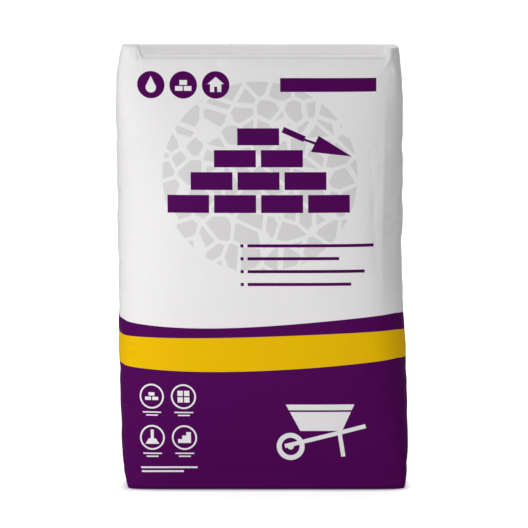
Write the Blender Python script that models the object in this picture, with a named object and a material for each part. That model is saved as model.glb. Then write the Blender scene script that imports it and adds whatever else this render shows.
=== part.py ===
"""A filled 20 kg cement bag: a pasted, block-ended paper sack that stands on its bottom end.

Units are metres and +Z is up. The printed front faces -Y, and the origin is the middle of the
bottom end, on the floor. The paper tube has the same girth all the way up, so its depth at each
level follows from its width there and from how square its outline is. Both ends are folded to a
flat, sharp-cornered block, and between them the mix pushes the tube out to a round-sided cushion.
"""

import math

import bmesh
import bpy
import numpy as np

# The paper.
TUBE_GIRTH = 0.706
WALL = 0.0004
END_WALL = 0.0012
GAP = 0.0003

# The outline at each level: height, middle of the width, half of the width, squareness. A
# squareness of 2 is an ellipse, and 14 is nearly a rectangle.
TOP_HEIGHT = 0.4407
LEVELS = (
    (0.0000, 0.0034, 0.1433, 14.0),
    (0.0100, 0.0033, 0.1436, 12.0),
    (0.0240, 0.0029, 0.1441, 8.4),
    (0.0430, 0.0026, 0.1448, 6.0),
    (0.0700, 0.0020, 0.1453, 4.6),
    (0.1030, 0.0012, 0.1454, 3.8),
    (0.1400, 0.0002, 0.1453, 3.5),
    (0.1800, -0.0010, 0.1444, 3.4),
    (0.2250, -0.0017, 0.1435, 3.3),
    (0.2700, -0.0020, 0.1438, 3.3),
    (0.3100, -0.0022, 0.1443, 3.4),
    (0.3450, -0.0024, 0.1446, 3.6),
    (0.3740, -0.0027, 0.1448, 4.2),
    (0.3970, -0.0029, 0.1447, 5.3),
    (0.4150, -0.0031, 0.1441, 7.2),
    (0.4290, -0.0032, 0.1432, 10.5),
    (TOP_HEIGHT, -0.0030, 0.1424, 14.0),
)

# The fold round each end is slightly rounded. These are its radius and the heights of its steps.
EDGE_RADIUS = 0.0025
EDGE_STEPS = (0.0008, 0.0025)

# The top end has slumped forwards over the slack above the mix.
TOP_TILT = math.radians(5.9)
TILT_START = 0.31

# Points of a quarter outline, as shares of its length from the middle of the broad side to the
# middle of the narrow one. They crowd together at the corner.
QUARTER_STOPS = (0.0, 0.16, 0.31, 0.44, 0.55, 0.64, 0.70, 0.745, 0.775, 0.80, 0.83, 0.87, 0.93)
OUTLINE_SAMPLES = 500
GIRTH_HALVINGS = 30

# The dry mix, with the empty headspace above its heaped top.
MIX_TOP = 0.415
MIX_HEAP = ((0.80, 0.0055), (0.45, 0.0090))

# The cover patches pasted over the folded ends.
BOTTOM_PATCH_SIZE = (0.254, 0.058)
TOP_PATCH_SIZE = (0.250, 0.054)
PATCH_THICKNESS = 0.0004

# The flat filling sleeve in the -X corner of the top end.
SLEEVE_WIDTH = 0.058
SLEEVE_THICKNESS = 0.0012
SLEEVE_WALL = 0.0004
SLEEVE_LENGTH = 0.100
SLEEVE_PROUD = 0.0020
SLIT_BELOW_END_WALL = 0.0001
SLEEVE_DEPTH = END_WALL + SLIT_BELOW_END_WALL + GAP
SLEEVE_EDGE_STEPS = 4

# How far a cutter runs past what it cuts.
CUT_PAST = 0.005

SHARP_ANGLE = math.radians(32)

PAPER_COLOUR = (0.79, 0.78, 0.785)
PATCH_COLOUR = (0.74, 0.735, 0.74)
KRAFT_COLOUR = (0.42, 0.29, 0.17)
MIX_COLOUR = (0.36, 0.35, 0.33)


def clear_scene():
    for item in list(bpy.data.objects):
        bpy.data.objects.remove(item, do_unlink=True)


def material(name, colour, roughness):
    made = bpy.data.materials.new(name)
    made.use_nodes = True
    shader = made.node_tree.nodes["Principled BSDF"]
    shader.inputs["Base Color"].default_value = (*colour, 1.0)
    shader.inputs["Roughness"].default_value = roughness
    shader.inputs["Metallic"].default_value = 0.0
    return made


def level_at(height):
    """The middle, half width and squareness of the outline at a height, on a smooth curve."""
    last = len(LEVELS) - 1
    index = 0
    while index < last - 1 and height > LEVELS[index + 1][0]:
        index += 1
    low, high = np.array(LEVELS[index]), np.array(LEVELS[index + 1])
    before = np.array(LEVELS[max(index - 1, 0)])
    after = np.array(LEVELS[min(index + 2, last)])
    span = high[0] - low[0]
    share = (height - low[0]) / span
    slope_low = (high - before) / (high[0] - before[0]) * span
    slope_high = (after - low) / (after[0] - low[0]) * span
    bend = share * share * (3.0 - 2.0 * share)
    pull_low = share * (1.0 - share) ** 2
    pull_high = share * share * (1.0 - share)
    value = low + (high - low) * bend + slope_low * pull_low - slope_high * pull_high
    return value[1], value[2], value[3]


def quarter_curve(half_width, half_depth, squareness):
    """A quarter of a superellipse, from the middle of the broad side to the narrow one."""
    angles = np.linspace(-math.pi / 2, 0.0, OUTLINE_SAMPLES)
    across, along = np.abs(np.cos(angles)), np.abs(np.sin(angles))
    size = (across / half_width) ** squareness + (along / half_depth) ** squareness
    radius = size ** (-1.0 / squareness)
    return np.stack([radius * across, -radius * along], axis=1)


def curve_lengths(points):
    steps = np.linalg.norm(np.diff(points, axis=0), axis=1)
    return np.concatenate([[0.0], np.cumsum(steps)])


def half_depth_for_girth(half_width, squareness):
    """The half depth that gives the tube its girth, found by halving."""
    low, high = 0.0, TUBE_GIRTH / 4
    for _ in range(GIRTH_HALVINGS):
        middle = (low + high) / 2
        if 4 * curve_lengths(quarter_curve(half_width, middle, squareness))[-1] > TUBE_GIRTH:
            high = middle
        else:
            low = middle
    return (low + high) / 2


def tilt_at(height):
    """The forward slope of the level at a height: none low down, the whole tilt at the top."""
    share = min(max((height - TILT_START) / (TOP_HEIGHT - TILT_START), 0.0), 1.0)
    return math.tan(TOP_TILT) * share * share * (3.0 - 2.0 * share)


def edge_inset(height):
    """How far the rounded fold at either end draws the outline in."""
    from_end = min(height, TOP_HEIGHT - height)
    if from_end >= EDGE_RADIUS:
        return 0.0
    return EDGE_RADIUS - math.sqrt(EDGE_RADIUS**2 - (EDGE_RADIUS - from_end) ** 2)


def ring(height, inset):
    """The tube's outline at a height, drawn in by an inset, as points round it from the front."""
    middle, half_width, squareness = level_at(height)
    half_depth = half_depth_for_girth(half_width, squareness)
    curve = quarter_curve(half_width, half_depth, squareness)
    lengths = curve_lengths(curve)
    stops = np.array(QUARTER_STOPS) * lengths[-1]
    quarter = np.stack([np.interp(stops, lengths, curve[:, side]) for side in (0, 1)], axis=1)
    narrow_side = np.array([[half_width, 0.0]])
    right = np.concatenate([quarter, narrow_side, quarter[:0:-1] * (1, -1)])
    left = right[::-1] * (-1, 1)
    broad_back = np.array([[0.0, half_depth]])
    outline = np.concatenate([right, broad_back, left[:-1]])
    ahead, behind = np.roll(outline, -1, axis=0), np.roll(outline, 1, axis=0)
    along = ahead - behind
    along /= np.linalg.norm(along, axis=1)[:, None]
    outline = outline + (inset + edge_inset(height)) * np.stack([-along[:, 1], along[:, 0]], axis=1)
    rise = height + tilt_at(height) * outline[:, 1]
    return [(x + middle, y, z) for (x, y), z in zip(outline, rise)]


def loft(name, rings):
    """A closed solid through rings of points that all run the same way round, bottom to top."""
    shape = bmesh.new()
    rows = [[shape.verts.new(point) for point in points] for points in rings]
    for low, high in zip(rows, rows[1:]):
        for index in range(len(low)):
            after = (index + 1) % len(low)
            shape.faces.new((low[index], low[after], high[after], high[index]))
    shape.faces.new(rows[0][::-1])
    shape.faces.new(rows[-1])
    shape.normal_update()
    mesh = bpy.data.meshes.new(name)
    shape.to_mesh(mesh)
    shape.free()
    return mesh


def place(name, mesh, finish):
    made = bpy.data.objects.new(name, mesh)
    bpy.context.scene.collection.objects.link(made)
    if finish:
        mesh.materials.append(finish)
    return made


def shade_round(item):
    item.data.shade_smooth()
    item.data.set_sharp_from_angle(angle=SHARP_ANGLE)


def tube_rings(lowest, highest, inset):
    """Rings of the tube between two heights, at every level and edge step between them."""
    levels = {level[0] for level in LEVELS}
    levels.update(EDGE_STEPS)
    levels.update(TOP_HEIGHT - step for step in EDGE_STEPS)
    between = [height for height in sorted(levels) if lowest + GAP < height < highest - GAP]
    return [ring(height, inset) for height in (lowest, *between, highest)]


def slab(name, size, low, high, centre_x, sloped):
    """A flat rectangular plate between two heights, level or sloped as the top end is."""
    slope = math.tan(TOP_TILT) if sloped else 0.0
    signs = ((-1, -1), (1, -1), (1, 1), (-1, 1))
    corners = [(centre_x + right * size[0] / 2, back * size[1] / 2) for right, back in signs]
    return loft(name, [[(x, y, height + slope * y) for x, y in corners] for height in (low, high)])


def flat_bar(name, width, thickness, start_x, end_x):
    """A round-edged flat bar along X, at the sleeve's height and slope."""
    radius = thickness / 2
    section = []
    for side in (1, -1):
        for step in range(SLEEVE_EDGE_STEPS + 1):
            angle = -side * math.pi / 2 + math.pi * step / SLEEVE_EDGE_STEPS
            y = side * (width / 2 - radius) + radius * math.cos(angle)
            section.append((y, radius * math.sin(angle)))
    height = TOP_HEIGHT - SLEEVE_DEPTH - SLEEVE_THICKNESS / 2
    sloped = [(y, height + math.tan(TOP_TILT) * y + rise) for y, rise in section]
    return loft(name, [[(x, y, z) for y, z in sloped] for x in (start_x, end_x)])


def cut(item, mesh):
    """Takes a cutter's shape out of an item, and hides the cutter."""
    cutter = place(mesh.name, mesh, None)
    cutter.hide_render = True
    cutter.display_type = "WIRE"
    modifier = item.modifiers.new(mesh.name, "BOOLEAN")
    modifier.operation = "DIFFERENCE"
    modifier.solver = "EXACT"
    modifier.object = cutter


def sleeve_start():
    """Where the sleeve's mouth stands, a little out of the side of the sack."""
    middle, half_width, _ = level_at(TOP_HEIGHT - SLEEVE_DEPTH - SLEEVE_THICKNESS / 2)
    return middle - half_width - SLEEVE_PROUD


def make_paper_sack(paper):
    """The paper tube with its folded ends, hollow, with a slit for the sleeve in one corner."""
    sack = place("paper_sack", loft("paper_sack", tube_rings(0.0, TOP_HEIGHT, 0.0)), paper)
    shade_round(sack)
    cut(sack, loft("cavity_cutter", tube_rings(END_WALL, TOP_HEIGHT - END_WALL, WALL)))
    recess_size = [side + 2 * GAP for side in BOTTOM_PATCH_SIZE]
    recess_top = PATCH_THICKNESS + GAP
    cut(sack, slab("recess_cutter", recess_size, -CUT_PAST, recess_top, LEVELS[0][1], False))
    slit_low = TOP_HEIGHT - SLEEVE_DEPTH - SLEEVE_THICKNESS - GAP
    slit_high = TOP_HEIGHT - SLEEVE_DEPTH + GAP
    slit_size = (2 * (SLEEVE_PROUD + CUT_PAST), SLEEVE_WIDTH + 2 * GAP)
    cut(sack, slab("slit_cutter", slit_size, slit_low, slit_high, sleeve_start(), True))


def make_dry_mix(mix):
    """The loose mix, which fills the sack to its heaped top."""
    rings = tube_rings(END_WALL + GAP, MIX_TOP, WALL + GAP)
    rim = np.array(rings[-1])
    middle = np.array([level_at(MIX_TOP)[0], 0.0, MIX_TOP])
    for share, rise in MIX_HEAP:
        rings.append(middle + (rim - middle) * share + (0.0, 0.0, rise))
    heap = place("dry_mix", loft("dry_mix", rings), mix)
    shade_round(heap)


def make_patches(finish):
    """The two strips pasted over the ends, one let into the bottom and one on the top."""
    bottom = slab("bottom_cover_patch", BOTTOM_PATCH_SIZE, 0.0, PATCH_THICKNESS, LEVELS[0][1], False)
    place("bottom_cover_patch", bottom, finish)
    low = TOP_HEIGHT + GAP
    top = slab("top_cover_patch", TOP_PATCH_SIZE, low, low + PATCH_THICKNESS, LEVELS[-1][1], True)
    place("top_cover_patch", top, finish)


def make_valve_sleeve(kraft):
    """The flat sleeve for filling, from its mouth at the side of the sack into the headspace."""
    start = sleeve_start()
    end = start + SLEEVE_LENGTH
    body = flat_bar("valve_sleeve", SLEEVE_WIDTH, SLEEVE_THICKNESS, start, end)
    sleeve = place("valve_sleeve", body, kraft)
    bore_width = SLEEVE_WIDTH - 2 * SLEEVE_WALL
    bore_thickness = SLEEVE_THICKNESS - 2 * SLEEVE_WALL
    cut(sleeve, flat_bar("bore_cutter", bore_width, bore_thickness, start - CUT_PAST, end + CUT_PAST))


def main():
    clear_scene()
    make_paper_sack(material("printed_paper", PAPER_COLOUR, 0.55))
    make_dry_mix(material("dry_mix", MIX_COLOUR, 0.95))
    make_patches(material("patch_paper", PATCH_COLOUR, 0.6))
    make_valve_sleeve(material("kraft_paper", KRAFT_COLOUR, 0.75))


main()
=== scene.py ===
"""Looks of a filled 20 kg cement bag: a printed, pasted, block-ended paper sack on a pale floor.

Metres, +Z up, the printed front faces -Y. The sack's skin is one grid of points that follows the
paper: columns run up the tube and rows round it, so a place on the print is a distance round the
tube and a height. The paper is relaxed as a sheet with a little length to spare at its sides and
ends, where it creases as filled paper does. The real sack's folds and dents are then pressed in.
"""

import functools
import math

import bmesh
import bpy
import numpy as np
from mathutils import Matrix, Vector


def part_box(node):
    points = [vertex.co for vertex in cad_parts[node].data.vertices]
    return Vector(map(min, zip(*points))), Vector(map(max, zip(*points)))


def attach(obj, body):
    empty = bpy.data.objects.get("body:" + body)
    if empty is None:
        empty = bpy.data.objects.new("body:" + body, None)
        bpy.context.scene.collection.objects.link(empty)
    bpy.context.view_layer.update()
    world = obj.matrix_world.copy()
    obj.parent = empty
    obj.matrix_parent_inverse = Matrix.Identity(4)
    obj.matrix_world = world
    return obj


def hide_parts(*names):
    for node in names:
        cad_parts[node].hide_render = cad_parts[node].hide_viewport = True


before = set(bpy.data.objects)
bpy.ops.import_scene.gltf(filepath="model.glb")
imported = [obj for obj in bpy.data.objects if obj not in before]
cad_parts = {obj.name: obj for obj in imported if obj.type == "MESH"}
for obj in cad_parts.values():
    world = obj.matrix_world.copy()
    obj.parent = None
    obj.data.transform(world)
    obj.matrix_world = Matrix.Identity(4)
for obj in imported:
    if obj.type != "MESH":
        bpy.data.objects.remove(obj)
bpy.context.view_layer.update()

MM = 0.001

# The paper tube, as the solid part has it. It tilts forwards more and more up to its top.
TUBE_GIRTH = 706 * MM
TOP_HEIGHT = 440.7 * MM
TOP_SLOPE = math.tan(math.radians(5.9))
TILT_START = 310 * MM
OUTLINE_SAMPLES = 700

# Its levels: height, middle of the width, half of the width and squareness of the outline, where
# 2 is an ellipse and 14 is nearly a rectangle.
LEVELS = np.array([
    (0, 3.4, 143.3, 14),
    (10, 3.3, 143.6, 12),
    (24, 2.9, 144.1, 8.4),
    (43, 2.6, 144.8, 6),
    (70, 2, 145.3, 4.6),
    (103, 1.2, 145.4, 3.8),
    (140, 0.2, 145.3, 3.5),
    (180, -1, 144.4, 3.4),
    (225, -1.7, 143.5, 3.3),
    (270, -2, 143.8, 3.3),
    (310, -2.2, 144.3, 3.4),
    (345, -2.4, 144.6, 3.6),
    (374, -2.7, 144.8, 4.2),
    (397, -2.9, 144.7, 5.3),
    (415, -3.1, 144.1, 7.2),
    (429, -3.2, 143.2, 10.5),
    (440.7, -3, 142.4, 14),
]) * (MM, MM, MM, 1)

# Distances round the tube: from the front's middle to a side's middle and to a corner, and from a
# side's middle to the soft border of the front or back.
SIDE_MIDDLE = TUBE_GIRTH / 4
CORNER_PLACE = SIDE_MIDDLE - 41 * MM
SIDE_BORDER = (36 * MM, 46 * MM)

# The rounded edges of the ends, at the front and back and then at the narrow sides.
BOTTOM_RADIUS, BOTTOM_SIDE_RADIUS = 2.5 * MM, 1.2 * MM
TOP_RADIUS, TOP_SIDE_RADIUS = 3.6 * MM, 2.2 * MM

# The skin's grid: its rows lie closer at the rounded edges, and rings close each end.
SKIN_COLUMNS, END_RINGS = 352, 17
ROW_STEP = 2.05 * MM
EDGE_ROWS = np.array([0, 0.25, 0.6, 1.05, 1.65, 2.5, 3.7, 5.2]) * MM
WELD = 0.01 * MM

# The sheets that are relaxed, from coarse to fine: columns, steps, how stiffly they bend and how
# firmly the fill holds them.
SHEETS = (
    (60, 500, 0.50, 0.006),
    (120, 350, 0.35, 0.003),
    (240, 160, 0.25, 0.001),
)

# The links of a sheet: how many squares they run up and round, and how stiff they are. Those over
# two squares are as stiff as their sheet is, and give way the more they are bent. The sheet is
# held at its ends and is free a little further in.
LINKS = ((0, 1, 0.9), (1, 0, 0.9), (1, 1, 0.5), (1, -1, 0.5), (0, 2, None), (2, 0, None))
BEND_SOFTENING = 0.02
FILL_PRESSURE = 0.003 * MM
FIRST_DENTS, FIRST_NOISE = 1.2 * MM, (5, 80 * MM)
HELD, FREE = -1 * MM, 22 * MM

# The share of its length that the paper has to spare, round the tube and up it: all over, and
# what is added at the sides, the top and the foot, in patches.
SPARE_ROUND = (0.0015, 0.020, 0.006, 0.004)
SPARE_UP = (0.0015, 0.028, 0.005, 0)
SPARE_SIDE, SPARE_TOP, SPARE_FOOT = 85 * MM, (385 * MM, 425 * MM), 60 * MM
SPARE_MEAN, SPARE_NOISE = 0.65, (8, 110 * MM)

# How the relaxed paper is calmed: it is drawn in, and in the middle of the sides its creases lose
# a share of their depth and its ridges are held to a limit.
FACE_SETTLE, SIDE_SETTLE = 1.2 * MM, 0.8 * MM
SIDE_CALM, SIDE_REACH = 0.7, 60 * MM
RIDGE_LIMIT, RIDGE_SOFTNESS = 1 * MM, 0.4 * MM

# The shoulders, which lean in, and the raised corners or ears of the top end. An ear starts and is
# full at two distances from the middle, and has a height.
SHOULDER_LEAN, SHOULDER_DROP = 1.2 * MM, 22 * MM
LEFT_EAR, RIGHT_EAR = (118 * MM, 124 * MM, 12.3 * MM), (127 * MM, 134 * MM, 9 * MM)
EAR_FRONT, EAR_BACK = -45 * MM, 42 * MM
EAR_REACH, EAR_MARGIN = 40 * MM, 4 * MM

# The right front corner, pressed in below the top along an edge that slants outwards going down.
CORNER_CUT, CORNER_CUT_DROP = 6.4 * MM, (10 * MM, 32 * MM)
CORNER_EDGE, CORNER_WIDTH, CORNER_SLANT = 135 * MM, 8 * MM, 0.12
FRONT_BLEND = 20 * MM

# How far the sides are drawn in at the top and the foot: side, amount and reach. It starts and is
# full at two distances from the middle.
TOP_CUTS = ((-1, 5 * MM, 26 * MM), (1, 2.2 * MM, 30 * MM))
TOP_CUT_SPAN = (110 * MM, 142 * MM)
FOOT_CUTS = ((-1, 4.4 * MM, 27 * MM), (1, 2.8 * MM, 25 * MM))
FOOT_CUT_SPAN = (90 * MM, 142 * MM)

# The folded ends: the steps of the top's flaps, its swells and its sag, and the recess round the
# bottom patch. The rim of an end blends in up to a share of the way from the end's spine.
FLAP_THICKNESS, UNDER_FLAP = 0.4 * MM, 0.45
FLAP_EDGE, FLAP_SOFTNESS, CORNER_FLAP_SOFTNESS = 9 * MM, 0.8 * MM, 1.6 * MM
END_SWELL, END_SWELL_NOISE = 0.35 * MM, (31, 80 * MM)
END_FACET, END_FACET_NOISE = 0.10 * MM, (32, 40 * MM, 0.1)
END_SAG, END_SAG_SHIFT, END_SAG_REACH = -1 * MM, -10 * MM, (125 * MM, 34 * MM)
RECESS_DEPTH, RECESS_MARGIN, RECESS_SLOPE = 0.45 * MM, 1 * MM, (-1.5 * MM, 0.8 * MM)
RIM_SHARE = 0.72

# The cover patches: the top one is thinner at its rim, and both have slightly ragged edges.
PATCH_THICKNESS, PATCH_RIM = 0.32 * MM, 0.2
PATCH_STEP, PATCH_FEATHER = 2 * MM, 6 * MM
PATCH_GAP, PATCH_MARGIN = 0.06 * MM, 1 * MM
PATCH_RAGGED, PATCH_NOISE = 0.35 * MM, (41, 24 * MM)

# The body of mix: how far it lies inside the paper, its levels and its columns.
MIX_INSET, MIX_LEVELS, MIX_COLUMNS = 8 * MM, 24, 64

# Colours, as linear values.
PAPER = (0.80, 0.785, 0.79)
PALE_GREY = (0.655, 0.64, 0.65)
PURPLE = (0.0740, 0.0015, 0.0860)
YELLOW = (0.80, 0.480, 0.0012)
# The back seam's overlap edge has a thin line of painted shade, standing in for the shade of its
# step: its colour, share and half width.
SEAM_PAINTED_SHADE, SEAM_SHARE, SEAM_HALF_WIDTH = (0.30, 0.29, 0.29), 0.5, 0.25
MIX_TONE = (0.36, 0.35, 0.33)
KRAFT_TONE = (0.40, 0.27, 0.155)
PATCH_TONE = (0.76, 0.745, 0.74)
DARKER, DARKER_SCALE = 0.93, 30

# The surface of the papers: the scale, detail and roughness of each noise, the range and start of
# the tone and the shine that follow them, and the strength and depth of the bumps.
MOTTLE, CLOUD = (420, 3, 0.6), (14, 2, 0.5)
FIBRE, COCKLE = (1100, 4, 0.65), (85, 3, 0.55)
TONE, SHINE = (0.05, 0.975), (0.12, 0.52)
BUMPS = ((FIBRE, 0.25, 0.06 * MM), (COCKLE, 0.5, 0.5 * MM))
PAPER_SPECULAR = 0.03

# The print's curved stripe edges, in millimetres: height, lean, rise and twist.
FOOT_EDGE = (166.3, 0.0606, 0.000389, -1.58e-6)
BAND_TOP_EDGE = (155.8, 0.0326, 0.000124, -0.59e-6)
BAND_FOOT_EDGE = (121.4, 0.0422, 0.000368, -0.74e-6)
EDGE_FADE = 36

# The lights: name, place, target, size and power. The world is dimmer for all but the camera.
LIGHTS = (
    ("key", (-0.60, -0.70, 0.35), (0, 0, 0.22), (0.4, 0.6), 3.25),
    ("low", (0, -0.78, 0.06), (0, 0, 0.12), (0.9, 0.12), 1.6),
    ("top", (0.2, 1.5, 2.2), (0, 0, 0.3), (1.2, 1.2), 30),
    ("left", (-1.5, 0, 0.4), (0, 0, 0.24), (0.4, 0.6), 1.4),
)
WORLD_LIGHT, WORLD_SEEN = 0.475, 0.985
CAMERA_DISTANCE = 8
CAMERA_ELEVATION = math.radians(5.5)
VIEW_CENTRE = Vector((0.0018, 0, 0.2242))

# The floor, which glows white for the camera, more so further out, and has a painted shadow close
# under the sack, tinted purple as a painted reflection of the sack: how open a place is where the
# painted shadow ends, and how far from the foot's middle.
FLOOR_SIZE = 9
FLOOR_OPEN, FLOOR_PAINTED_SHADOW = (0.45, 0.45, 0.45), (0.42, 0.24, 0.44)
SHADE_REACH, SHADE_SAMPLES, SHADE_OPEN = 30 * MM, 12, (0.46, 0.85)
SHADE_MIDDLE, SHADE_ENDS = 4.2 * MM, (129 * MM, 147 * MM)
GLOW_REACH, GLOW_LEVELS = (0.2, 0.8), (0.75, 1)


def smooth(low, high, value):
    """0 below low, 1 above high, and a smooth step between."""
    share = np.clip((np.asarray(value, float) - low) / (high - low), 0, 1)
    return share * share * (3 - 2 * share)


def bump(value, middle, reach):
    """1 at the middle, falling smoothly to 0 at the reach."""
    return 1 - smooth(0, reach, np.abs(np.asarray(value, float) - middle))


def evenly(start, end, step):
    """Places from the start to the end, about a step apart."""
    return np.linspace(start, end, int(round((end - start) / step)) + 1)


def waves(place, seed, wavelength, count=16):
    """Smooth seeded noise of about unit size, from plane waves in random directions."""
    draw = np.random.default_rng(seed)
    total = np.zeros(place.shape[:-1])
    for _ in range(count):
        direction = draw.normal(size=place.shape[-1])
        direction /= np.linalg.norm(direction)
        size = wavelength * draw.uniform(0.7, 1.5)
        total += np.sin(2 * math.pi * (place @ direction) / size + draw.uniform(0, 2 * math.pi))
    return total / math.sqrt(count / 2)


# The smooth tube.


def levels_at(heights):
    """Middle, half width and squareness of the outline at each height, on a smooth curve."""
    slopes = np.gradient(LEVELS, LEVELS[:, 0], axis=0)
    index = np.clip(np.searchsorted(LEVELS[:, 0], heights, side="right") - 1, 0, len(LEVELS) - 2)
    low, high = LEVELS[index], LEVELS[index + 1]
    span = (high[:, 0] - low[:, 0])[:, None]
    share = (heights[:, None] - low[:, :1]) / span
    bend = share * share * (3 - 2 * share)
    low_pull = share * (1 - share) ** 2 * slopes[index]
    high_pull = share**2 * (1 - share) * slopes[index + 1]
    value = low + (high - low) * bend + span * (low_pull - high_pull)
    return value[:, 1], value[:, 2], value[:, 3]


def quarter_outline(half_width, half_depth, squareness):
    """A quarter of a superellipse, from the middle of the front to the middle of the side."""
    angles = np.linspace(0, math.pi / 2, OUTLINE_SAMPLES)
    across, along = np.sin(angles), np.cos(angles)
    size = (across / half_width) ** squareness + (along / half_depth) ** squareness
    radius = size ** (-1 / squareness)
    return radius * across, -radius * along


def fitted_quarter(half_width, squareness, columns):
    """The quarter outline that has the tube's girth, at even steps, and its half depth."""
    low, high = 0, SIDE_MIDDLE
    for _ in range(30):
        half_depth = (low + high) / 2
        x, y = quarter_outline(half_width, half_depth, squareness)
        lengths = np.concatenate([[0], np.cumsum(np.hypot(np.diff(x), np.diff(y)))])
        if 4 * lengths[-1] > TUBE_GIRTH:
            high = half_depth
        else:
            low = half_depth
    stops = np.linspace(0, lengths[-1], columns // 4 + 1)
    return np.interp(stops, lengths, x), np.interp(stops, lengths, y), half_depth


def edge_insets(heights, columns):
    """How far each point is drawn in by the rounded edge of the nearer end."""
    around, up = paper_places(heights, columns)
    from_side = np.abs(np.abs(around) - SIDE_MIDDLE)
    on_side = 1 - smooth(*SIDE_BORDER, from_side)
    top_radius = TOP_RADIUS + (TOP_SIDE_RADIUS - TOP_RADIUS) * on_side
    bottom_radius = BOTTOM_RADIUS + (BOTTOM_SIDE_RADIUS - BOTTOM_RADIUS) * on_side
    radius = np.where(up > TOP_HEIGHT / 2, top_radius, bottom_radius)
    from_end = np.clip(np.minimum(up, TOP_HEIGHT - up), 0, radius)
    return radius - np.sqrt(radius**2 - (radius - from_end) ** 2)


def tube_grid(heights, columns):
    """The smooth tube: rows by columns by three, from the middle of the back over the left side."""
    middles, half_widths, squareness = levels_at(heights)
    insets = edge_insets(heights, columns)
    tilts = TOP_SLOPE * smooth(TILT_START, TOP_HEIGHT, heights)
    points = np.zeros((len(heights), columns, 3))
    spines = np.zeros(len(heights))
    for row, height in enumerate(heights):
        x, y, half_depth = fitted_quarter(half_widths[row], squareness[row], columns)
        left = np.concatenate([-x[:-1], -x[:0:-1]])
        depth = np.concatenate([-y[:-1], y[:0:-1]])
        x, y = np.concatenate([left, -left]), np.concatenate([depth, -depth])
        along_x = np.roll(x, -1) - np.roll(x, 1)
        along_y = np.roll(y, -1) - np.roll(y, 1)
        length = np.hypot(along_x, along_y)
        x = x - insets[row] * along_y / length
        y = y + insets[row] * along_x / length
        points[row] = np.column_stack([x + middles[row], y, height + tilts[row] * y])
        spines[row] = half_widths[row] - half_depth
    return points, middles, spines


def grid_normals(points):
    around = np.roll(points, -1, axis=1) - np.roll(points, 1, axis=1)
    upward = np.gradient(points, axis=0)
    normals = np.cross(around, upward)
    return normals / np.linalg.norm(normals, axis=2, keepdims=True)


def paper_places(heights, columns):
    """Each grid point's distance round the tube from the middle of the front, and its height."""
    around = (np.arange(columns) / columns - 0.5) * TUBE_GIRTH
    return np.meshgrid(around, heights)


# The paper, relaxed as a sheet with a little length to spare.


def spare_lengths(points, around, up):
    """The share of its length that the paper has to spare round the tube and up it."""
    side = bump(np.abs(around), SIDE_MIDDLE, SPARE_SIDE)
    top = smooth(*SPARE_TOP, up)
    foot = 1 - smooth(0, SPARE_FOOT, up)
    patchy = SPARE_MEAN + (1 - SPARE_MEAN) * np.clip(waves(points, *SPARE_NOISE), -1, 1)
    return [
        least + (at_side * side + at_top * top + at_foot * foot) * patchy
        for least, at_side, at_top, at_foot in (SPARE_ROUND, SPARE_UP)
    ]


def sheet_links(smooth_points, spare_round, spare_up):
    """The resting length of each link along the sheet, across it and over two squares of it."""
    lengths = []
    for up, on, _ in LINKS:
        count = len(smooth_points) - up
        gap = np.roll(smooth_points, -on, axis=1)[up:] - smooth_points[:count]
        spare = spare_round if up == 0 else spare_up if on == 0 else (spare_round + spare_up) / 2
        lengths.append((np.linalg.norm(gap, axis=2) * (1 + spare[:count]))[..., None])
    return lengths


def relaxed(place, smooth_points, normals, lengths, loose, sheet):
    """The sheet after its links have pulled it to their lengths against the fill."""
    _, steps, bend_stiffness, hold = sheet
    place, loose = place.copy(), loose[..., None]
    for _ in range(steps):
        place += loose * (normals * FILL_PRESSURE + (smooth_points - place) * hold)
        for (up, on, stiffness), length in zip(LINKS, lengths):
            count = len(place) - up
            gap = np.roll(place, -on, axis=1)[up:] - place[:count]
            distance = np.sqrt(np.einsum("abc,abc->ab", gap, gap))[..., None]
            if stiffness is None:
                bent = np.clip(1 - distance / length, 0, 1) / BEND_SOFTENING
                stiffness = bend_stiffness / (1 + bent * bent)
            push = 0.5 * stiffness * (distance - length) / distance * gap
            place[:count] += loose[:count] * push
            place[up:] -= loose[up:] * np.roll(push, on, axis=1)
    return place


def cubic_weights(where, count, wraps):
    """A matrix that reads evenly spaced values at fractional places with a smooth cubic."""
    base = np.floor(where).astype(int)
    share = where - base
    parts = (
        -0.5 * share + share**2 - 0.5 * share**3,
        1 - 2.5 * share**2 + 1.5 * share**3,
        0.5 * share + 2 * share**2 - 1.5 * share**3,
        -0.5 * share**2 + 0.5 * share**3,
    )
    matrix = np.zeros((len(where), count))
    for offset, part in enumerate(parts):
        index = base + offset - 1
        index = index % count if wraps else np.clip(index, 0, count - 1)
        np.add.at(matrix, (np.arange(len(where)), index), part)
    return matrix


def resampled(values, row_shares, columns):
    """A grid of values read at other shares of its height and with other columns."""
    from_rows = cubic_weights(row_shares * (len(values) - 1), len(values), False)
    column_places = np.arange(columns) * values.shape[1] / columns
    from_columns = cubic_weights(column_places, values.shape[1], True)
    return np.einsum("ab,bcd,ec->aed", from_rows, values, from_columns, optimize=True)


def creased_paper(heights):
    """How far the relaxed paper has moved from the smooth tube, on the skin's grid."""
    moved = None
    for sheet in SHEETS:
        columns = sheet[0]
        sheet_heights = evenly(0, TOP_HEIGHT, TUBE_GIRTH / columns)
        points = tube_grid(sheet_heights, columns)[0]
        normals = grid_normals(points)
        around, up = paper_places(sheet_heights, columns)
        loose = smooth(HELD, FREE, np.minimum(up, TOP_HEIGHT - up))
        loose[0] = loose[-1] = 0
        if moved is None:
            moved = normals * (FIRST_DENTS * waves(points, *FIRST_NOISE) * loose)[..., None]
        else:
            moved = resampled(moved, np.linspace(0, 1, len(points)), columns)
            moved[0] = moved[-1] = 0
        lengths = sheet_links(points, *spare_lengths(points, around, up))
        moved = relaxed(points + moved, points, normals, lengths, loose, sheet) - points
    return resampled(moved, heights / TOP_HEIGHT, SKIN_COLUMNS)


# The skin.


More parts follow.
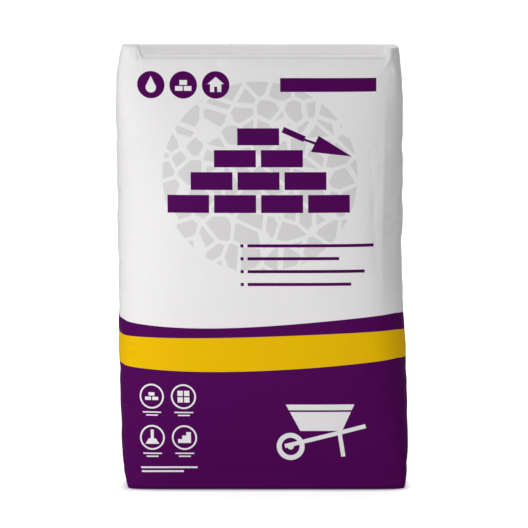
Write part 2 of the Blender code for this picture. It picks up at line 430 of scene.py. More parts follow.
def row_heights():
    inner = evenly(EDGE_ROWS[-1], TOP_HEIGHT - EDGE_ROWS[-1], ROW_STEP)
    return np.concatenate([EDGE_ROWS[:-1], inner, TOP_HEIGHT - EDGE_ROWS[-2::-1]])


# Creases and dents of the walls, in millimetres round from the front's middle and up. A crease has
# two ends, a width and a depth, a dent a middle, a reach and a depth. A negative depth stands out.
FOLDS = (
    ((-122.5, 454), (-121, 424), 2.4, 3),
    ((-118.5, 450), (-117.5, 427), 2.4, -0.9),
    ((-119, 436), (-116, 424), 2.5, -0.3),
    ((-46, 444), (-40, 430), 2.2, 0.9),
    ((93, 446), (99, 433), 1.6, 0.8),
    ((99, 433), (103, 445), 1.6, 0.6),
    ((132, 446), (134, 424), 2.2, -1.2),
    ((138, 446), (140, 420), 2.4, 0.8),
    ((112, 345), (118, 215), 4, 0.7),
    ((127, 404), (124, 176), 5, -0.9),
    ((124, 330), (108, 240), 3.5, 0.5),
    ((-122, 300), (-127, 190), 4, 0.4),
    ((128, 420), (96, 385), 3.5, 0.6),
    ((-131, 14), (-118, 52), 3, 0.7),
    ((131, 14), (116, 44), 3, 0.8),
    ((-111, 434.5), (-36, 435.5), 1.3, 0.35),
    ((-30, 436.5), (58, 435), 1.3, 0.35),
)
DENTS = (
    ((-44, 433), (9, 6), 1.1),
    ((94, 434), (7, 5), 0.5),
    ((120, 350), (7, 5), 0.5),
    ((141, 235), (32, 215), 2.2),
    ((174, 236), (44, 62), 1.3),
    ((174, 26), (44, 44), 1.1),
)
FOLD_TAPER, FOLD_SHARPNESS = 0.7, 1.6

# Creases of the folded top end, in millimetres across and back.
END_FOLDS = (
    ((-24, 48), (-38, -50), 3.5, -0.5),
    ((-80, 50), (-96, -48), 5, 0.5),
    ((20, 52), (36, -50), 5, 0.35),
    ((88, 36), (101, -24), 3, -1.1),
    ((93, 38), (107, -26), 3.2, 1.5),
    ((-112, 40), (-104, -40), 4, -0.5),
)

# The line up each side, the seam up the back and the slit for the filling sleeve, in millimetres.
# The sleeve lies below the top, and its mouth stands out.
SIDE_LINE_HEIGHT, SIDE_LINE_WIDTH, SIDE_LINE_WAVE = 0.5, 2, 31
SEAM_START, SEAM_EDGE, SEAM_RISE = -353, -325, 0.3
SLIT_HALF_LENGTH, SLIT_HALF_HEIGHT, SLIT_DEPTH, SLIT_END = 29.5, 1.6, 2.8, 3
SLEEVE_DROP, SLEEVE_REACH = 3.7 * MM, 1.5 * MM
PRESSED_FOOT, PRESSED_TOP = (0, 6 * MM), (-2 * MM, 5 * MM)

# Facets of the walls, in layers: the noise's seed, wavelength and sharpness, how far it is drawn
# out up the sack, and its depth in millimetres with what one region adds.
BROAD_FACETS = (63, 120 * MM, 0.04), 1, (0.45, -0.25)
MIDDLING_FACETS = (61, 75 * MM, 0.06), 0.7, (0.28, 0.52)
FINE_FACETS = (62, 34 * MM, 0.10), 0.8, (0.08, 0.20)
SMALL_CRUMPLES = (64, 13 * MM, 0.15), 1, (0.62, 0)
EDGE_PLACE, EDGE_REACH = 147 * MM, 55 * MM
END_REACH = (20 * MM, 130 * MM)
CORNER_REACH, CORNER_DROPS = 26 * MM, (50 * MM, 8 * MM)


def dent(around, up, where, reach, depth):
    """A round or oval dent: the place is across and up, and the reach is too."""
    far = np.hypot((around - where[0]) / reach[0], (up - where[1]) / reach[1])
    return -depth * (1 - smooth(0, 1, far))


def fold(around, up, start, end, width, depth):
    """A straight crease between two places, deepest at its middle."""
    start, end = np.array(start), np.array(end)
    line = end - start
    length = np.linalg.norm(line)
    along = ((around - start[0]) * line[0] + (up - start[1]) * line[1]) / length**2
    off = ((around - start[0]) * line[1] - (up - start[1]) * line[0]) / length
    taper = np.sin(math.pi * np.clip(along, 0, 1)) ** FOLD_TAPER * ((along > 0) & (along < 1))
    return -depth * np.exp(-np.abs(off) / width * FOLD_SHARPNESS) * taper


def ridged(points, seed, wavelength, sharpness):
    """Seeded noise that is domed between creases, about 0 on average."""
    mean_size = 0.8
    field = waves(points, seed, wavelength, 10)
    return np.sqrt(field**2 + sharpness**2) - mean_size


def facets(points, layer, share, region):
    """A layer of facets, weakened to a share and changed in its region."""
    noise, drawn_out, (depth, added) = layer
    return ridged(points * (1, 1, drawn_out), *noise) * share * (depth + added * region)


def crumpled(around, up, points):
    """Long soft facets all over, and sharper ones near the edges and corners of the block."""
    front = bump(around, 0, SIDE_MIDDLE)
    near_edge = bump(np.abs(around), EDGE_PLACE, EDGE_REACH)
    near_end = 1 - smooth(*END_REACH, np.minimum(up, TOP_HEIGHT - up))
    near_top = smooth(TOP_HEIGHT - CORNER_DROPS[0], TOP_HEIGHT - CORNER_DROPS[1], up)
    near_corner = bump(np.abs(around), CORNER_PLACE, CORNER_REACH) * near_top
    broad = facets(points, BROAD_FACETS, 1, front)
    middling = facets(points, MIDDLING_FACETS, near_edge, near_end)
    fine = facets(points, FINE_FACETS, near_edge, near_end)
    return broad + middling + fine + facets(points, SMALL_CRUMPLES, near_corner, 0)


def pressed(around, up, points):
    """The dents and creases of the real sack, outwards, on the walls."""
    across, along = around / MM, up / MM
    moved = crumpled(around, up, points)
    for start, end, width, depth in FOLDS:
        moved += fold(across, along, start, end, width, depth)
    for where, reach, depth in DENTS:
        moved += dent(across, along, where, reach, depth)
    side_line = np.exp(-np.abs(np.abs(across) - SIDE_MIDDLE / MM) / SIDE_LINE_WIDTH)
    moved += SIDE_LINE_HEIGHT * side_line * (0.6 + 0.4 * np.sin(along / SIDE_LINE_WAVE))
    moved += SEAM_RISE * ((across > SEAM_START) & (across < SEAM_EDGE))
    off_slit = np.abs(across + SIDE_MIDDLE / MM)
    along_slit = 1 - smooth(SLIT_HALF_LENGTH - SLIT_END, SLIT_HALF_LENGTH, off_slit)
    moved -= SLIT_DEPTH * along_slit * bump(up, TOP_HEIGHT - SLEEVE_DROP, SLIT_HALF_HEIGHT * MM)
    return moved * MM * smooth(*PRESSED_FOOT, up) * smooth(*PRESSED_TOP, TOP_HEIGHT - up)


def ear(x, y):
    """How far the corners of the top stand above its tilted middle, most in front."""
    across = x - end_middles[-1]
    left = LEFT_EAR[2] * smooth(LEFT_EAR[0], LEFT_EAR[1], -across)
    right = RIGHT_EAR[2] * smooth(RIGHT_EAR[0], RIGHT_EAR[1], across)
    return (left + right) * (1 - smooth(EAR_FRONT, EAR_BACK, y))


def lifted(points, up):
    """How far the raised corners carry the walls' paper up."""
    return ear(points[..., 0], points[..., 1]) * smooth(TOP_HEIGHT - EAR_REACH, TOP_HEIGHT, up)


def shouldered(points, up):
    """The walls with their top leaning in between raised corners, and a narrower foot."""
    moved = points.copy()
    across = points[..., 0] - end_middles[-1]
    near_top = np.clip((up - TOP_HEIGHT + SHOULDER_DROP) / SHOULDER_DROP, 0, 1)
    in_left = smooth(LEFT_EAR[0] - EAR_MARGIN, LEFT_EAR[1], -across)
    in_right = smooth(RIGHT_EAR[0] - EAR_MARGIN, RIGHT_EAR[1], across)
    lean = np.sign(points[..., 1]) * SHOULDER_LEAN * near_top**2
    moved[..., 1] -= lean * (1 - (in_left + in_right))
    moved[..., 2] += lifted(points, up)
    for side, cut, reach in TOP_CUTS:
        drawn_in = cut * np.clip((up - TOP_HEIGHT + reach) / reach, 0, 1)
        moved[..., 0] -= side * drawn_in * smooth(*TOP_CUT_SPAN, side * across)
    in_front = 1 - smooth(-FRONT_BLEND, FRONT_BLEND, points[..., 1])
    below = TOP_HEIGHT - up
    corner_cut = CORNER_CUT * (1 - smooth(*CORNER_CUT_DROP, below))
    past_edge = (across - CORNER_EDGE - CORNER_SLANT * below) / CORNER_WIDTH
    moved[..., 1] += corner_cut * np.clip(past_edge, 0, 1) * in_front
    foot_across = points[..., 0] - end_middles[0]
    for side, cut, reach in FOOT_CUTS:
        drawn_in = cut * (1 - smooth(0, reach, up)) * smooth(*FOOT_CUT_SPAN, side * foot_across)
        moved[..., 0] -= side * drawn_in
    return moved


def end_plane(x, y, top):
    """The height of the folded end's paper, with the steps of its flaps."""
    row = -1 if top else 0
    middle, spine = end_middles[row], end_spines[row]
    if not top:
        low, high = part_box("bottom_cover_patch")
        inside = smooth(*RECESS_SLOPE, (high.x - low.x) / 2 - np.abs(x - middle) + RECESS_MARGIN)
        inside = inside * smooth(*RECESS_SLOPE, high.y - np.abs(y) + RECESS_MARGIN)
        return RECESS_DEPTH * inside
    in_corner = smooth(0, CORNER_FLAP_SOFTNESS, np.abs(x - middle) - spine - np.abs(y))
    over = 1 - smooth(-FLAP_SOFTNESS, FLAP_SOFTNESS, y - FLAP_EDGE)
    steps = FLAP_THICKNESS * ((UNDER_FLAP + (1 - UNDER_FLAP) * over) * (1 - in_corner) - 1)
    place = np.stack([x, y], axis=-1)
    uneven = END_SWELL * waves(place, *END_SWELL_NOISE)
    uneven += END_FACET * ridged(place, *END_FACET_NOISE)
    sag = END_SAG * bump(x, middle + END_SAG_SHIFT, END_SAG_REACH[0])
    sag *= bump(y, 0, END_SAG_REACH[1])
    creases = sum(fold(x / MM, y / MM, *crease) for crease in END_FOLDS) * MM
    return TOP_HEIGHT + TOP_SLOPE * y + steps + uneven + sag + creases + ear(x, y)


def end_rings(ring, smooth_ring, top):
    """Rings that shrink the end's outline to its spine, over the steps of the folded flaps."""
    row = -1 if top else 0
    middle, spine = end_middles[row], end_spines[row]
    on_spine = np.clip(smooth_ring[:, 0], middle - spine, middle + spine)
    feet = np.column_stack([on_spine, np.zeros(len(ring))])
    rim = ring[:, 2] - end_plane(ring[:, 0], ring[:, 1], top)
    rings = []
    for step in range(1, END_RINGS + 1):
        share = 1 - step / END_RINGS
        flat = feet + (ring[:, :2] - feet) * share
        rise = end_plane(flat[:, 0], flat[:, 1], top) + rim * smooth(RIM_SHARE, 1, share)
        rings.append(np.column_stack([flat, rise]))
    return np.array(rings)


def new_object(name, data):
    made = bpy.data.objects.new(name, data)
    bpy.context.scene.collection.objects.link(made)
    return made


def new_piece(name, mesh, material):
    mesh.materials.append(material)
    mesh.shade_smooth()
    return new_object(name, mesh)


def grid_mesh(name, rows, caps=()):
    """A mesh of quads through a grid of points that closes round its columns, and its caps."""
    count, columns = rows.shape[:2]
    low = np.arange(count - 1)[:, None] * columns
    high = low + columns
    here = np.arange(columns)[None, :]
    after = (here + 1) % columns
    faces = np.stack([low + here, low + after, high + after, high + here], axis=-1)
    mesh = bpy.data.meshes.new(name)
    mesh.from_pydata(rows.reshape(-1, 3).tolist(), [], [*faces.reshape(-1, 4).tolist(), *caps])
    return mesh


def weld(mesh, new_normals=False):
    """Joins the points of a mesh that meet."""
    shape = bmesh.new()
    shape.from_mesh(mesh)
    bmesh.ops.remove_doubles(shape, verts=shape.verts, dist=WELD)
    if new_normals:
        bmesh.ops.recalc_face_normals(shape, faces=shape.faces)
    shape.to_mesh(mesh)
    shape.free()


def build_sack(material):
    rows = np.concatenate([
        end_rings(skin[0], smooth_skin[0], False)[::-1],
        skin,
        end_rings(skin[-1], smooth_skin[-1], True),
    ])
    inwards = np.arange(1, END_RINGS + 1) * ROW_STEP
    print_up = UP + lifted(smooth_skin, UP)
    below = np.repeat(-inwards[::-1, None], SKIN_COLUMNS, axis=1)
    ups = np.concatenate([below, print_up, print_up[-1] + inwards[:, None]])
    after = np.roll(ups, -1, axis=1)
    mesh = grid_mesh("sack_paper", rows)
    around = AROUND[:1, :, None]
    places = np.zeros((len(rows) - 1, SKIN_COLUMNS, 4, 2))
    places[:, :, (0, 3), 0] = around
    places[:, :, (1, 2), 0] = around + TUBE_GIRTH / SKIN_COLUMNS
    places[:, :, 0, 1], places[:, :, 1, 1] = ups[:-1], after[:-1]
    places[:, :, 3, 1], places[:, :, 2, 1] = ups[1:], after[1:]
    mesh.uv_layers.new(name="print").data.foreach_set("uv", places.reshape(-1).astype(np.float32))
    weld(mesh)
    return new_piece("sack_paper", mesh, material)


# Materials.


def new_node(tree, kind, **inputs):
    node = tree.nodes.new("ShaderNode" + kind)
    for name, value in inputs.items():
        node.inputs[name].default_value = value
    return node


class Ink:
    """A print made of shader nodes, in millimetres. A shape covers 0 to 1 of a point."""

    SOFT = 0.15

    def __init__(self, tree):
        self.tree = tree

    def math(self, operation, *values, clamp=False):
        node = new_node(self.tree, "Math")
        node.operation = operation
        node.use_clamp = clamp
        for socket, value in zip(node.inputs, values):
            if isinstance(value, (int, float)):
                socket.default_value = value
            else:
                self.tree.links.new(value, socket)
        return node.outputs[0]

    def cover(self, distance):
        return self.math("MULTIPLY_ADD", distance, -1 / self.SOFT, 0.5, clamp=True)

    def moved(self, centre, turn=0):
        """The place on the print seen from a centre, turned by an angle in degrees."""
        x = self.math("SUBTRACT", self.x, centre[0])
        y = self.math("SUBTRACT", self.y, centre[1])
        if not turn:
            return x, y
        cosine, sine = math.cos(math.radians(turn)), math.sin(math.radians(turn))
        turned_x = self.math("MULTIPLY_ADD", x, cosine, self.math("MULTIPLY", y, sine))
        turned_y = self.math("MULTIPLY_ADD", y, cosine, self.math("MULTIPLY", x, -sine))
        return turned_x, turned_y

    def box(self, centre, size, turn=0):
        x, y = self.moved(centre, turn)
        across = self.math("SUBTRACT", self.math("ABSOLUTE", x), size[0] / 2)
        along = self.math("SUBTRACT", self.math("ABSOLUTE", y), size[1] / 2)
        return self.cover(self.math("MAXIMUM", across, along))

    def span(self, left, bottom, right, top):
        return self.box(((left + right) / 2, (bottom + top) / 2), (right - left, top - bottom))

    def radius(self, centre):
        x, y = self.moved(centre)
        return self.math("SQRT", self.math("MULTIPLY_ADD", x, x, self.math("MULTIPLY", y, y)))

    def disc(self, centre, radius):
        return self.cover(self.math("SUBTRACT", self.radius(centre), radius))

    def ring(self, centre, radius, stroke):
        off = self.math("ABSOLUTE", self.math("SUBTRACT", self.radius(centre), radius))
        return self.cover(self.math("SUBTRACT", off, stroke / 2))

    def polygon(self, corners):
        """A convex polygon whose corners run anticlockwise."""
        distances = []
        for (x0, y0), (x1, y1) in zip(corners, corners[1:] + corners[:1]):
            length = math.hypot(x1 - x0, y1 - y0)
            normal_x, normal_y = (y1 - y0) / length, (x0 - x1) / length
            offset = -(normal_x * x0 + normal_y * y0)
            along_y = self.math("MULTIPLY_ADD", self.y, normal_y, offset)
            distances.append(self.math("MULTIPLY_ADD", self.x, normal_x, along_y))
        return self.cover(self.either(*distances))

    def either(self, *shapes):
        return functools.reduce(lambda one, other: self.math("MAXIMUM", one, other), shapes)

    def both(self, shape, other):
        return self.math("MINIMUM", shape, other)

    def without(self, shape, hole):
        return self.math("MINIMUM", shape, self.math("SUBTRACT", 1, hole))

    def mix(self, share, below, above):
        node = new_node(self.tree, "Mix")
        node.data_type = "RGBA"
        self.tree.links.new(share, node.inputs["Factor"])
        for name, value in (("A", below), ("B", above)):
            socket = next(s for s in node.inputs if s.name == name and s.type == "RGBA")
            if isinstance(value, tuple):
                socket.default_value = (*value, 1)
            else:
                self.tree.links.new(value, socket)
        return next(s for s in node.outputs if s.type == "RGBA")

    def noise(self, coordinates, scale, detail=2, roughness=0.5):
        node = new_node(self.tree, "TexNoise", Scale=scale, Detail=detail, Roughness=roughness)
        self.tree.links.new(coordinates, node.inputs["Vector"])
        return node.outputs["Fac"]


def below_curve(ink, height, lean, rise, twist):
    """What lies below a curved edge, whose lean and twist fade so that it meets round the sides."""
    squared = ink.math("MULTIPLY", ink.x, ink.x)
    off_middle, side = ink.math("ABSOLUTE", ink.x), SIDE_MIDDLE / MM
    inner = ink.math("MULTIPLY_ADD", off_middle, -1 / EDGE_FADE, side / EDGE_FADE, clamp=True)
    slope = ink.math("MULTIPLY", ink.math("MULTIPLY_ADD", squared, twist, lean), inner)
    edge = ink.math("MULTIPLY_ADD", squared, rise, ink.math("MULTIPLY_ADD", ink.x, slope, height))
    return ink.cover(ink.math("SUBTRACT", ink.y, edge))


def three_bricks(ink, x, heights, size, aside):
    """Two bricks side by side and a third on top of them."""
    places = (x - aside, heights[0]), (x + aside, heights[0]), (x, heights[1])
    return ink.either(*[ink.box(place, size) for place in places])


def disc_motifs(ink, centres):
    """A drop, three bricks and a house, for the three discs."""
    (x0, y), (x1, _), (x2, _) = centres
    drop = ink.either(
        ink.disc((x0, y - 2.6), 5.2),
        ink.polygon([(x0 - 4.75, y - 0.6), (x0 + 4.75, y - 0.6), (x0, y + 9)]),
    )
    bricks = three_bricks(ink, x1, (y - 3.4, y + 2.6), (7.6, 4.8), 4.4)
    walls = ink.span(x2 - 5.6, y - 7, x2 + 5.6, y + 1)
    door = ink.span(x2 - 1.5, y - 7.5, x2 + 1.5, y - 1.6)
    roof = ink.polygon([(x2 - 8.4, y + 1), (x2 + 8.4, y + 1), (x2, y + 8.2)])
    return ink.either(drop, bricks, ink.either(ink.without(walls, door), roof))


def brickwork(ink, left, bottom, courses):
    """Courses of bricks, each a brick shorter than the one below and half a brick along."""
    long, tall, joint = 42, 18, 5
    walls = []
    for course, count in enumerate(courses):
        low = bottom + course * (tall + joint)
        start = left + course * (long + joint) / 2
        row = ink.span(start, low, start + count * (long + joint) - joint, low + tall)
        place = ink.math("FLOORED_MODULO", ink.math("SUBTRACT", ink.x, start), long + joint)
        walls.append(ink.both(row, ink.cover(ink.math("SUBTRACT", place, long))))
    return ink.either(*walls)


def trowel(ink, tip_x, base_y):
    """A pointing trowel that lies over the brickwork's steps."""
    blade = ink.polygon([(tip_x, base_y), (tip_x - 33, base_y + 22), (tip_x - 41, base_y + 5)])
    neck = ink.box((tip_x - 42, base_y + 16), (14, 2.6), 160)
    grip = ink.box((tip_x - 58, base_y + 23.5), (24, 6.4), 155)
    return ink.either(blade, neck, grip)


def ruled_lines(ink, left, first, lengths, thick=2):
    """Bulleted bars in place of lines of type, from the first one down."""
    bullet, indent, pitch = 3.2, 7, 13
    lines = []
    for row, length in enumerate(lengths):
        y = first - row * pitch
        lines.append(ink.box((left + bullet / 2, y), (bullet, bullet)))
        lines.append(ink.box((left + indent + length / 2, y), (length, thick)))
    return ink.either(*lines)


def barrow(ink, x, y):
    """A wheelbarrow seen from the side, from its wheel at the left to its handles."""
    tray = ink.polygon([(x - 22, y - 2), (x + 20, y - 2), (x + 33, y + 25), (x - 36, y + 25)])
    gap = ink.span(x - 40, y + 17.4, x + 40, y + 19.2)
    wheel = ink.ring((x - 32, y - 18), 11.5, 5)
    hub = ink.disc((x - 32, y - 18), 3.2)
    shaft = ink.box((x + 3, y - 7.5), (84, 4.2), 14)
    leg = ink.box((x + 19, y - 15.5), (4.2, 26), 8)
    return ink.either(ink.without(tray, gap), wheel, hub, shaft, leg)


def ring_motifs(ink, centres):
    """Bricks, tiles, a post and steps, for the four rings, with two short bars below each."""
    (x0, y0), (x1, y1), (x2, y2), (x3, y3) = centres
    cross = ink.either(ink.box((x1, y1), (1.3, 13)), ink.box((x1, y1), (13, 1.3)))
    heap = [(x2 - 7, y2 - 6.5), (x2 + 7, y2 - 6.5), (x2 + 3.6, y2 - 1), (x2 - 3.6, y2 - 1)]
    parts = [
        three_bricks(ink, x0, (y0 - 2.2, y0 + 2.3), (6.2, 3.4), 3.7),
        ink.without(ink.box((x1, y1), (12, 12)), cross),
        ink.span(x2 - 1.5, y2 - 3, x2 + 1.5, y2 + 8),
        ink.polygon(heap),
    ]
    for step in range(3):
        parts.append(ink.span(x3 - 6.5 + 4.2 * step, y3 - 5.5, x3 + 6.5, y3 - 1.5 + 3.6 * step))
    for x, y in centres:
        parts.append(ink.ring((x, y), 11.8, 1.7))
        parts.append(ink.box((x, y - 16.2), (19, 1.3)))
        parts.append(ink.box((x, y - 19.2), (12, 1.3)))
    return ink.either(*parts)


def pebbles(ink, coordinates, centre, radius):
    """A pale round field of pebbles."""
    size, sharpness, joint = 21, 30, 2.2
    node = new_node(ink.tree, "TexVoronoi", Scale=1000 / size)
    node.feature = "DISTANCE_TO_EDGE"
    ink.tree.links.new(coordinates, node.inputs["Vector"])
    inside = ink.math("MULTIPLY_ADD", node.outputs["Distance"], sharpness, -joint, clamp=True)
    return ink.both(inside, ink.disc(centre, radius))


def new_material(name):
    made = bpy.data.materials.new(name)
    made.use_nodes = True
    return made, made.node_tree, made.node_tree.nodes["Principled BSDF"]


def printed_paper():
    """The sack's paper, whose print is laid out across from the middle of a face and up."""
    made, tree, shader = new_material("printed_paper")
    uv = new_node(tree, "UVMap")
    uv.uv_map = "print"
    split = new_node(tree, "SeparateXYZ")
    tree.links.new(uv.outputs[0], split.inputs[0])
    ink = Ink(tree)
    half = TUBE_GIRTH / MM / 2
    around = ink.math("MULTIPLY", split.outputs[0], 1000)
    wrapped = ink.math("FLOORED_MODULO", ink.math("ADD", around, half / 2), half)
    ink.x = ink.math("SUBTRACT", wrapped, half / 2)
    ink.y = ink.math("MULTIPLY", split.outputs[1], 1000)
    front = ink.cover(ink.math("SUBTRACT", ink.math("ABSOLUTE", around), half / 2))

    foot = below_curve(ink, *FOOT_EDGE)
    band = ink.without(below_curve(ink, *BAND_TOP_EDGE), below_curve(ink, *BAND_FOOT_EDGE))

    discs, disc_radius = [(x, 412.5) for x in (-108.5, -76, -43.5)], 13.8
    marks = ink.either(*[ink.disc(centre, disc_radius) for centre in discs])
    marks = ink.without(marks, disc_motifs(ink, discs))
    bar = ink.span(21, 405.5, 117.5, 419.5)
    wall = brickwork(ink, -93, 281, (4, 3, 2, 1))
    tool = trowel(ink, 92, 338)
    lines = ruled_lines(ink, -20, 248, (128, 92, 118, 104), 3.2)
    on_back = ink.either(
        ink.span(-118, 396, -10, 410),
        ruled_lines(ink, -118, 378, (212, 196, 220, 204, 150)),
        ink.span(-118, 286, -42, 300),
        ruled_lines(ink, -118, 268, (204, 220, 188, 128)),
    )
    on_front = ink.both(ink.either(marks, bar, wall, tool, lines), front)
    dark = ink.either(foot, on_front, ink.without(on_back, front))

    rings = [(x, y) for y in (95, 53) for x in (-113, -80.5)]
    small = ink.either(ink.span(-125, 21.5, -68, 23.3), ink.span(-125, 17.5, -82, 19.3))
    white = ink.both(ink.either(ring_motifs(ink, rings), barrow(ink, 58, 62), small), front)

    coordinates = new_node(tree, "TexCoord").outputs["Object"]
    grey = ink.both(pebbles(ink, uv.outputs[0], (0, 318), 98), front)
    colour = ink.mix(grey, PAPER, PALE_GREY)
    colour = ink.mix(dark, colour, PURPLE)
    colour = ink.mix(band, colour, YELLOW)
    colour = ink.mix(white, colour, PAPER)
    # Painted shade: a thin grey line along the overlap edge of the back seam, where its step would
    # cast shade.
    off_seam = ink.math("ABSOLUTE", ink.math("SUBTRACT", around, SEAM_EDGE))
    seam = ink.cover(ink.math("SUBTRACT", off_seam, SEAM_HALF_WIDTH))
    colour = ink.mix(ink.math("MULTIPLY", seam, SEAM_SHARE), colour, SEAM_PAINTED_SHADE)
    finish_paper(ink, shader, coordinates, colour)
    return made


def finish_paper(ink, shader, coordinates, colour):
    """The surface of the paper: a mottled tone, a shine that follows it, fibres and cockling."""
    tree = ink.tree
    shader.inputs["Specular IOR Level"].default_value = PAPER_SPECULAR
    mottle = ink.noise(coordinates, *MOTTLE)
    cloud = ink.noise(coordinates, *CLOUD)
    tone = ink.math("MULTIPLY_ADD", mottle, *TONE)
    tone = ink.math("MULTIPLY", tone, ink.math("MULTIPLY_ADD", cloud, *TONE))
    shade = new_node(tree, "VectorMath")
    shade.operation = "SCALE"
    tree.links.new(colour, shade.inputs[0])
    tree.links.new(tone, shade.inputs["Scale"])
    tree.links.new(shade.outputs[0], shader.inputs["Base Color"])
    tree.links.new(ink.math("MULTIPLY_ADD", mottle, *SHINE), shader.inputs["Roughness"])
    normal = None
    for noise, strength, distance in BUMPS:
        relief = new_node(tree, "Bump", Strength=strength, Distance=distance)
        tree.links.new(ink.noise(coordinates, *noise), relief.inputs["Height"])
        if normal:
            tree.links.new(normal, relief.inputs["Normal"])
        normal = relief.outputs[0]
    tree.links.new(normal, shader.inputs["Normal"])


def plain_paper(name, tone):
    made, tree, shader = new_material(name)
    ink = Ink(tree)
    coordinates = new_node(tree, "TexCoord").outputs["Object"]
    darker = tuple(DARKER * part for part in tone)
    colour = ink.mix(ink.noise(coordinates, DARKER_SCALE), tone, darker)
    finish_paper(ink, shader, coordinates, colour)
    return made


# Patches, sleeve and fill.


def build_patch(name, node, top, material):
    """A strip pasted over a folded end: a thin closed sheet that follows the flaps below it."""
    low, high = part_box(node)
    if top:
        low.y, high.y = low.y + PATCH_MARGIN, high.y - PATCH_MARGIN
    x, y = np.meshgrid(evenly(low.x, high.x, PATCH_STEP), evenly(low.y, high.y, PATCH_STEP))
    ragged = PATCH_RAGGED * waves(np.stack([x, y], axis=-1), *PATCH_NOISE)
    share_x = np.abs(x - (low.x + high.x) / 2) / (high.x - low.x)
    share_y = np.abs(y) / (high.y - low.y)
    y = y + ragged * smooth(0.8, 1, np.maximum(share_x, share_y) * 2)
    base, feather = np.zeros_like(x), 1
    if top:
        base = end_plane(x, y, True) + PATCH_GAP
        from_edge = np.minimum(np.minimum(x - low.x, high.x - x), np.minimum(y - low.y, high.y - y))
        feather = PATCH_RIM + (1 - PATCH_RIM) * smooth(0, PATCH_FEATHER, from_edge)
    layers = [np.stack([x, y, z], axis=-1) for z in (base, base + PATCH_THICKNESS * feather)]
    count = x.size
    index = np.arange(count).reshape(x.shape)
    a, b, c, d = index[:-1, :-1], index[:-1, 1:], index[1:, 1:], index[1:, :-1]
    both_sides = np.stack([a + count, b + count, c + count, d + count, d, c, b, a], axis=-1)
    rim = np.concatenate([index[0], index[1:, -1], index[-1, -2::-1], index[-2:0:-1, 0]])
    after = np.roll(rim, -1)
    edges = np.column_stack([rim, after, after + count, rim + count])
    faces = np.concatenate([both_sides.reshape(-1, 4), edges])
    mesh = bpy.data.meshes.new(name)
    mesh.from_pydata(np.reshape(layers, (-1, 3)).tolist(), [], faces.tolist())
    patch = new_piece(name, mesh, material)
    mesh.set_sharp_from_angle(angle=math.radians(50))
    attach(patch, "root")
    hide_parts(node)


def build_mix(material):
    """The fill, a plain body a little inside the paper."""
    mix_heights = np.linspace(MIX_INSET / 2, TOP_HEIGHT - 3 * MIX_INSET, MIX_LEVELS)
    points, middles, _ = tube_grid(mix_heights, MIX_COLUMNS)
    middle = np.zeros((MIX_LEVELS, 1, 3))
    middle[..., 0], middle[..., 2] = middles[:, None], mix_heights[:, None]
    flat = points - middle
    size = np.linalg.norm(flat[..., :2], axis=2, keepdims=True)
    flat[..., :2] *= (size - MIX_INSET) / size
    around = np.arange(MIX_COLUMNS)
    caps = around[::-1].tolist(), (around + (MIX_LEVELS - 1) * MIX_COLUMNS).tolist()
    return new_piece("mix_body", grid_mesh("mix_body", middle + flat, caps), material)


def build_mouth(material):
    """The end of the filling sleeve: a flat paper tube whose mouth is slightly open."""
    low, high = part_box("valve_sleeve")
    length, thickness, margin = 30 * MM, 0.4 * MM, 2 * MM
    opening, least_opening = 1 * MM, 0.15 * MM
    columns, rows = 48, 8
    turn = np.arange(columns) / columns * 2 * math.pi
    half_width = (high.y - low.y) / 2 - margin
    loops = []
    for grown, first, last in ((thickness, 0, 1), (0, 1, 0)):
        for stop in np.linspace(first, last, rows):
            half_open = least_opening + (opening - least_opening) * (1 - stop) ** 2 + grown
            y = np.cos(turn) * (half_width + grown)
            rise = np.sin(turn) * half_open * np.sqrt(np.clip(1 - np.cos(turn) ** 6, 0, 1))
            x = np.full(columns, slit_x - SLEEVE_REACH + length * stop)
            z = TOP_HEIGHT - SLEEVE_DROP + TOP_SLOPE * y + ear(x, y) + rise
            loops.append(np.column_stack([x, y, z]))
    loops.append(loops[0])
    mesh = grid_mesh("valve_mouth", np.array(loops))
    weld(mesh, new_normals=True)
    return new_piece("valve_mouth", mesh, material)


heights = row_heights()
smooth_skin, end_middles, end_spines = tube_grid(heights, SKIN_COLUMNS)
AROUND, UP = paper_places(heights, SKIN_COLUMNS)
smooth_normals = grid_normals(smooth_skin)
freed = smooth(0, FREE, np.minimum(UP, TOP_HEIGHT - UP))
on_side = bump(np.abs(AROUND), SIDE_MIDDLE, SIDE_REACH)
settle = FACE_SETTLE + (SIDE_SETTLE - FACE_SETTLE) * on_side
moved = creased_paper(heights) * (1 - SIDE_CALM * on_side)[..., None]
proud = np.einsum("abc,abc->ab", moved, smooth_normals) - RIDGE_LIMIT
flattened = -RIDGE_SOFTNESS * np.logaddexp(0, -proud / RIDGE_SOFTNESS) - proud
outward = pressed(AROUND, UP, smooth_skin) - settle * freed + flattened * on_side
skin = shouldered(smooth_skin + moved + smooth_normals * outward[..., None], UP)
slit_x = skin[np.argmin(np.abs(heights - TOP_HEIGHT + SLEEVE_DROP)), SKIN_COLUMNS // 4, 0]

sack = build_sack(printed_paper())
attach(sack, "root")
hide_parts("paper_sack")

mix = build_mix(plain_paper("dry_mix", MIX_TONE))
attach(mix, "root")
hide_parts("dry_mix")

mouth = build_mouth(plain_paper("kraft_paper", KRAFT_TONE))
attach(mouth, "root")
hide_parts("valve_sleeve")

patch_paper = plain_paper("patch_paper", PATCH_TONE)
build_patch("top_patch", "top_cover_patch", True, patch_paper)
build_patch("bottom_patch", "bottom_cover_patch", False, patch_paper)


def aim(item, target):
    item.rotation_euler = (Vector(target) - item.location).to_track_quat("-Z", "Y").to_euler()


def area_light(name, place, target, size, power):
    data = bpy.data.lights.new(name, "AREA")
    data.shape = "RECTANGLE"
    data.size, data.size_y = size
    data.energy = power
    made = new_object(name, data)
    made.location = place
    aim(made, target)


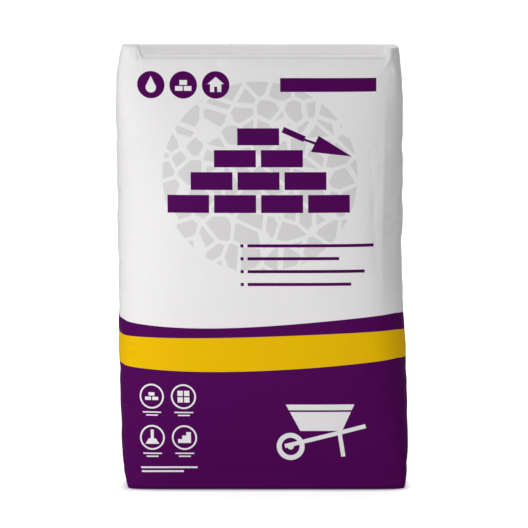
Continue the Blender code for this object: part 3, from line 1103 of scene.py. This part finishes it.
camera_data = bpy.data.cameras.new("camera")
camera_data.lens = 540
camera_data.sensor_width = 36
camera = new_object("camera", camera_data)
towards_camera = Vector((0, -math.cos(CAMERA_ELEVATION), math.sin(CAMERA_ELEVATION)))
camera.location = VIEW_CENTRE + CAMERA_DISTANCE * towards_camera
aim(camera, VIEW_CENTRE)
bpy.context.scene.camera = camera

for light in LIGHTS:
    area_light(*light)


def ramp(tree, value, source=(0, 1), result=(0, 1)):
    """A value carried from one range to another, and held to its ends."""
    names = "From Min", "From Max", "To Min", "To Max"
    node = new_node(tree, "MapRange", **dict(zip(names, (*source, *result))))
    tree.links.new(value, node.inputs["Value"])
    return node.outputs[0]


def studio_world():
    """White behind the camera's view, and a softer grey light on the object."""
    world = bpy.data.worlds.new("studio")
    bpy.context.scene.world = world
    world.use_nodes = True
    tree = world.node_tree
    background = tree.nodes["Background"]
    background.inputs["Color"].default_value = (1, 1, 1, 1)
    seen = new_node(tree, "LightPath").outputs["Is Camera Ray"]
    level = ramp(tree, seen, result=(WORLD_LIGHT, WORLD_SEEN))
    tree.links.new(level, background.inputs["Strength"])


def studio_floor():
    """A white floor, with a painted shadow under the sack that a painted purple reflection tints.
    """
    material, tree, shader = new_material("floor")
    ink = Ink(tree)
    shader.inputs["Roughness"].default_value = 0.7
    shader.inputs["Specular IOR Level"].default_value = 0.2
    shader.inputs["Emission Color"].default_value = (1, 1, 1, 1)
    place = new_node(tree, "TexCoord").outputs["Object"]
    contact = new_node(tree, "AmbientOcclusion", Distance=SHADE_REACH)
    contact.samples = SHADE_SAMPLES
    split = new_node(tree, "SeparateXYZ")
    tree.links.new(place, split.inputs[0])
    # Painted shadow: occlusion near the foot, within the sack's width, darkens the floor's colour
    # and cuts its glow.
    across = ink.math("ABSOLUTE", ink.math("SUBTRACT", split.outputs["X"], SHADE_MIDDLE))
    open_share = ramp(tree, contact.outputs["AO"], SHADE_OPEN)
    lit = ink.math("MAXIMUM", open_share, ramp(tree, across, SHADE_ENDS))
    tree.links.new(ink.mix(lit, FLOOR_PAINTED_SHADOW, FLOOR_OPEN), shader.inputs["Base Color"])
    far = new_node(tree, "VectorMath")
    far.operation = "LENGTH"
    tree.links.new(place, far.inputs[0])
    glow = ramp(tree, far.outputs["Value"], GLOW_REACH, GLOW_LEVELS)
    seen = new_node(tree, "LightPath").outputs["Is Camera Ray"]
    strength = ink.math("MULTIPLY", ink.math("MULTIPLY", glow, seen), lit)
    tree.links.new(strength, shader.inputs["Emission Strength"])
    mesh = bpy.data.meshes.new("floor")
    low, high = -FLOOR_SIZE, FLOOR_SIZE
    corners = [(low, low, 0), (high, low, 0), (high, high, 0), (low, high, 0)]
    mesh.from_pydata(corners, [], [(0, 1, 2, 3)])
    mesh.materials.append(material)
    floor = new_object("floor", mesh)


studio_world()
studio_floor()
bpy.context.scene.view_settings.view_transform = "Standard"
